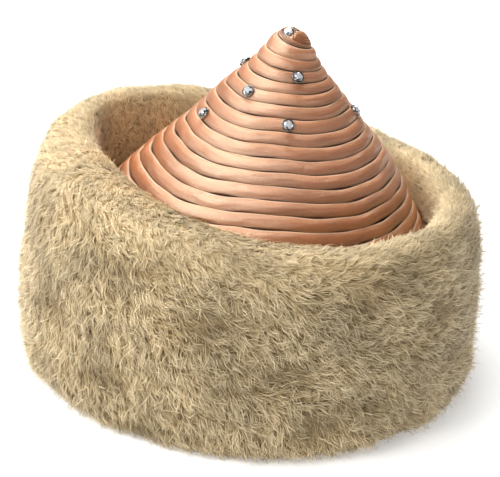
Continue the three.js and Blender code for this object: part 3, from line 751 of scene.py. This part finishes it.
# Stitches pucker the cloth, it ripples over the stuffing and its slanted pulls catch the light.
puckers = blend_nodes(tree, "MULTIPLY", streaks(200, 2.5, 2), 0.12)
ripples = blend_nodes(tree, "MULTIPLY", streaks(34, 4, 1, 0.25), 0.7)
weave = blend_nodes(tree, "MULTIPLY", streaks(1100, 80, 1), 0.2)
pulls = blend_nodes(tree, "MULTIPLY", streaks(26, 3, 2, -0.5), 1.7)
stitched = blend_nodes(tree, "ADD", puckers, ripples)
cloth_relief = blend_nodes(tree, "ADD", stitched, blend_nodes(tree, "ADD", pulls, weave))
# Round the tip's stone the cloth is gathered into fine pleats that run along the cord.
near_tip = map_range(tree, across_cord.outputs["X"], (0.02, 0.11), (2.2, 0))
tip_pleats = blend_nodes(tree, "MULTIPLY", near_tip, streaks(20, 16, 1))
cloth_relief = blend_nodes(tree, "ADD", cloth_relief, tip_pleats)
relief(tree, surface, cloth_relief, 0.9, 2 * MM)
surface.inputs["Roughness"].default_value = 0.33
surface.inputs["IOR"].default_value = 2.4
surface.inputs["Specular IOR Level"].default_value = 1
surface.inputs["Specular Tint"].default_value = (1, 0.79, 0.60, 1)
satin_cord.data.materials.append(satin)

# The crown's lining: a smooth cone of thin cloth inside the wound cord, from the seat in the cuff
# up to the tip, which the cord's turns are sewn to.
LINING_INNER = -5 * MM
LINING_OUTER = -2.4 * MM
LINING_TOP = 1.2
LINING_ROWS = 44
LINING_ANGLES = 121
lining_angle = np.linspace(-np.pi, np.pi, LINING_ANGLES)


def lining_row(turns, rise):
    """A row of points round the lining, some turns down from the tip."""
    return crown_place(lining_angle, np.full(lining_angle.shape, float(turns)), rise)


def lining_foot(rise):
    """The lowest row, just over the seat in the cuff."""
    wider = 1 + rise / CROWN_MARGIN
    x = (HEAD_WIDTH / 2 + wider * CROWN_MARGIN) * np.cos(lining_angle)
    y = (HEAD_LENGTH / 2 + wider * OVAL_MARGIN) * np.sin(lining_angle)
    return np.stack([x, y, np.full(lining_angle.shape, SEAT_HEIGHT + 0.2 * MM)], -1)


lining_turns = np.linspace(LINING_TOP, TURNS, LINING_ROWS)
inner_side = [lining_row(turns, LINING_INNER) for turns in lining_turns]
outer_side = [lining_row(turns, LINING_OUTER) for turns in lining_turns]
inner_tip = np.broadcast_to(inner_side[0].mean(0), inner_side[0].shape)
outer_tip = np.broadcast_to(outer_side[0].mean(0), outer_side[0].shape)
lining_points = [inner_tip, *inner_side, lining_foot(LINING_INNER), lining_foot(LINING_OUTER)]
lining_points += [*outer_side[::-1], outer_tip]
crown_lining = wrap_grid("crown_lining", np.stack(lining_points, 1))
lining_cloth, tree, surface = finish_material("lining_cloth")
lining_weave = speckle(tree, surface, 900, 2, [(0, (0.40, 0.22, 0.14)), (1, (0.60, 0.36, 0.24))])
relief(tree, surface, lining_weave, 1, 0.2 * MM)
surface.inputs["Roughness"].default_value = 0.6
crown_lining.data.materials.append(lining_cloth)
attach(crown_lining, "root")
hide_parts("satin_coil")

# The rhinestones' rims: small pressed cups of dark silver metal, rolled over the stone's edge, one
# at the tip and the others on the crests of the coils, sunk a little into the satin.
STONE_RADIUS = 2.65 * MM
STONE_CROWN = 1.25 * MM
STONE_GIRDLE = 0.3 * MM
STONE_PAVILION = 1.1 * MM
TABLE_SHARE = 0.6
METAL_RADIUS = 3.3 * MM
METAL_HEIGHT = 2.05 * MM
METAL_SINK = 0.7 * MM
STONE_SEAT = 1.75 * MM - METAL_SINK
STONE_ON_COIL = 0.56
# The coil that each stone sits on, counted from the tip, and its angle round the crown.
STONES = [(3, -72), (5, -127), (4, -203), (8, -156), (7, -2), (7, -83),
          (5, 52), (3, 88), (8, 64), (6, 118), (9, 128)]
stone_places = [(tip_base, tip_axis)]
for coil, degrees in STONES:
    angle = np.array(math.radians(degrees))
    turns = coil + STONE_ON_COIL + (angle - FRONT) / (2 * np.pi)
    turns = turns + winding_drift(angle, turns)
    base = Vector(crown_place(angle, turns, COIL_BULGE))
    under = Vector(crown_place(angle, turns, 0))
    stone_places.append((base, (base - under).normalized()))


def set_in_place(form, name, place, raised):
    """Turns a small form from the Z axis onto a stone's axis, moves it there and makes a piece."""
    base, axis = place
    turned = axis.to_track_quat("Z", "Y").to_matrix()
    bmesh.ops.rotate(form, verts=form.verts, cent=(0, 0, 0), matrix=turned)
    bmesh.ops.translate(form, verts=form.verts, vec=base + axis * raised)
    bmesh.ops.recalc_face_normals(form, faces=form.faces)
    mesh = bpy.data.meshes.new(name)
    form.to_mesh(mesh)
    form.free()
    piece = bpy.data.objects.new(name, mesh)
    bpy.context.scene.collection.objects.link(piece)
    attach(piece, "root")
    return piece


# The cup's outline as shares of its radius and height, and the steps round its turned form.
RIM_OUTLINE = [
    (0, 0), (0.86, 0), (0.98, 0.12), (1, 0.3), (1, 0.86),
    (0.96, 1), (0.89, 0.98), (0.87, 0.8), (0.87, 0.2), (0, 0.2),
]
RIM_STEPS = 28


def rim_form():
    """A cup turned from its outline, whose edge is rolled over the stone's girdle."""
    form = bmesh.new()
    ring = [form.verts.new((x * METAL_RADIUS, 0, z * METAL_HEIGHT)) for x, z in RIM_OUTLINE]
    edges = [form.edges.new(pair) for pair in zip(ring, ring[1:])]
    bmesh.ops.spin(
        form, geom=ring + edges, cent=(0, 0, 0), axis=(0, 0, 1), angle=2 * np.pi, steps=RIM_STEPS,
        use_merge=True,
    )
    bmesh.ops.remove_doubles(form, verts=form.verts, dist=MERGE_DISTANCE)
    for face in form.faces:
        face.smooth = True
    return form


silver, tree, surface = finish_material("dark_silver")
speckle(tree, surface, 900, 3, [(0.35, (0.14, 0.13, 0.12)), (0.7, (0.55, 0.53, 0.5))])
surface.inputs["Metallic"].default_value = 1
surface.inputs["Roughness"].default_value = 0.28
for number, place in enumerate(stone_places, 1):
    rim = set_in_place(rim_form(), f"silver_rim_{number:02d}", place, -METAL_SINK)
    rim.data.materials.append(silver)
    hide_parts(f"stone_rim_{number:02d}")

# The rhinestones: round cut glass with a flat table, a ring of crown facets and a silvered back. Each
# facet's colour is a painted glint, near white on some facets and grey to near black on others. Each
# is held in its rim by the rolled edge.
STONE_RINGS = [
    (8, TABLE_SHARE, STONE_GIRDLE + STONE_CROWN, 0.5), (8, 0.86, STONE_GIRDLE + 0.52 * STONE_CROWN, 0),
    (16, 1, STONE_GIRDLE, 0), (16, 1, 0, 0), (8, 0.45, -0.62 * STONE_PAVILION, 0.5),
]
PAINTED_GLINTS = [0, 0.15, 0.5, 1]
STEEP_CHANCES = [0.4, 0.3, 0.15, 0.15]
FLAT_CHANCES = [0.1, 0.2, 0.3, 0.4]
TABLE_PAINTED_GLINT = 0.6


def stone_form(rng):
    """A cut stone as the hull of its corner rings, with a painted glint for each facet."""
    form = bmesh.new()
    for sides, share, height, offset in STONE_RINGS:
        ring = bmesh.ops.create_circle(form, segments=sides, radius=share * STONE_RADIUS)["verts"]
        turned = Quaternion((0, 0, 1), 2 * np.pi * offset / sides).to_matrix()
        bmesh.ops.rotate(form, verts=ring, cent=(0, 0, 0), matrix=turned)
        bmesh.ops.translate(form, verts=ring, vec=(0, 0, height))
    form.verts.new((0, 0, -STONE_PAVILION))
    hull = bmesh.ops.convex_hull(form, input=form.verts)
    left_over = hull["geom_interior"] + hull["geom_unused"]
    inside = {item for item in left_over if isinstance(item, bmesh.types.BMVert)}
    bmesh.ops.delete(form, geom=list(inside), context="VERTS")
    bmesh.ops.dissolve_limit(form, angle_limit=math.radians(2), verts=form.verts, edges=form.edges)
    painted_glint_layer = form.faces.layers.float.new("painted_facet_glint")
    for face in form.faces:
        chances = STEEP_CHANCES if face.normal.z < 0.7 else FLAT_CHANCES
        face[painted_glint_layer] = rng.choice(PAINTED_GLINTS, p=chances)
        if face.normal.z > 0.99:
            face[painted_glint_layer] = TABLE_PAINTED_GLINT
    return form


crystal, tree, surface = finish_material("foiled_crystal")
painted_facet_glint = tree.nodes.new("ShaderNodeAttribute")
painted_facet_glint.attribute_name = "painted_facet_glint"
painted_glint_stops = [(0, (0.05, 0.055, 0.065)), (1, (0.95, 0.96, 1))]
painted_glint_colours = colour_ramp(tree, painted_facet_glint.outputs["Fac"], painted_glint_stops)
tree.links.new(painted_glint_colours, surface.inputs["Base Color"])
surface.inputs["Metallic"].default_value = 0.25
surface.inputs["Roughness"].default_value = 0.1
surface.inputs["Coat Weight"].default_value = 1
surface.inputs["Coat Roughness"].default_value = 0.02
facets = np.random.default_rng(12)
for number, place in enumerate(stone_places, 1):
    stone = set_in_place(stone_form(facets), f"cut_stone_{number:02d}", place, STONE_SEAT)
    stone.data.materials.append(crystal)
    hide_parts(f"rhinestone_{number:02d}")
